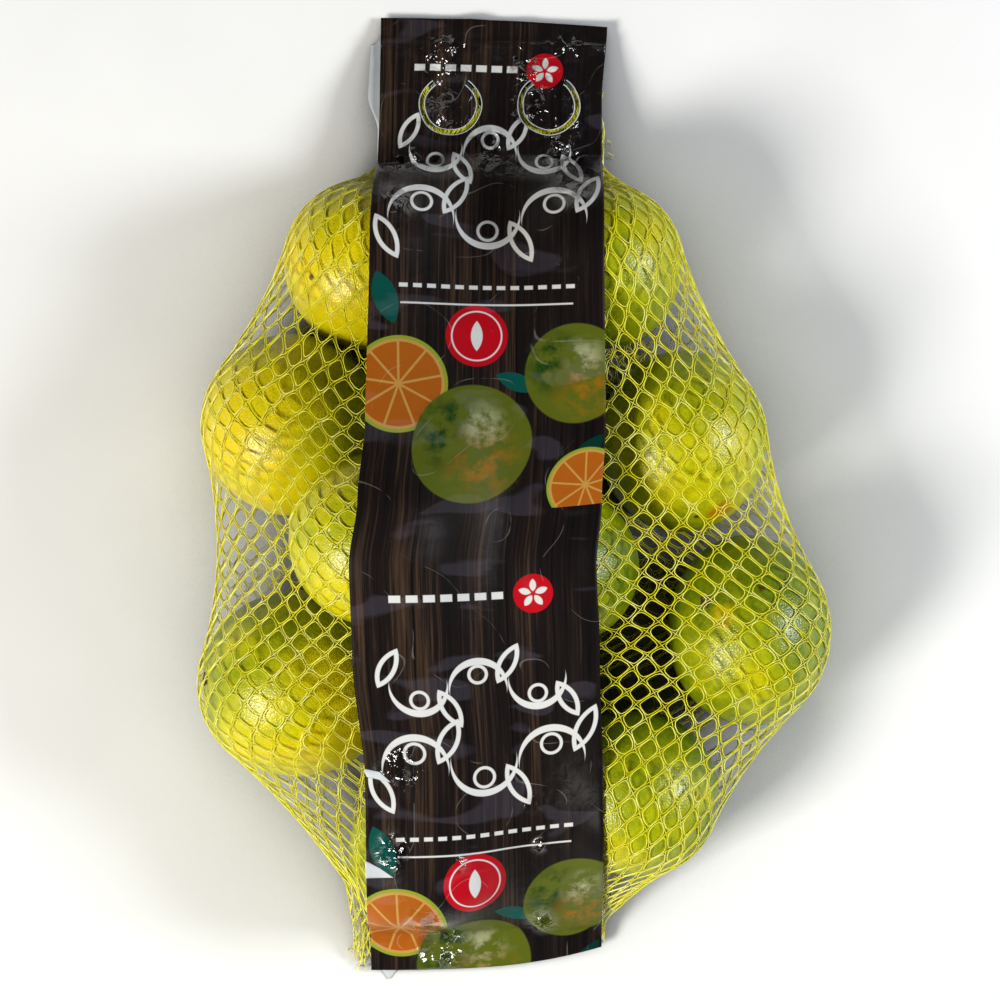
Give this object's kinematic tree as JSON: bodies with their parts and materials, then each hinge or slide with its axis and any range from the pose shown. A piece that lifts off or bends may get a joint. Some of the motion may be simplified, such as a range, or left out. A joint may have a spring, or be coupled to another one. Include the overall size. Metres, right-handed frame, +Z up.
{
  "type": "net bag of oranges",
  "caption": "Knitted net of whole green and yellow oranges lying on its back, with a printed film band front and back and a punched hang header.",
  "frame": {"origin": "middle of the bottom of the bounding box, on the surface that the bag lies on", "axes": "+X across the bag to the shown side's right, +Y from the foot to the hang header, +Z up through the shown side"},
  "size_m": [0.253, 0.3914, 0.1136],
  "materials": {
    "net_yarn": "knitted tape yarn, slightly glossy",
    "orange_peel": "waxed pitted citrus peel",
    "printed_film": "glossy printed film",
    "film_inside": "pale unprinted side of the film"
  },
  "bodies": {
    "root": {"filled_net": "net_yarn", "front_film": "printed_film", "back_film": "printed_film"}
  },
  "joints": []
}
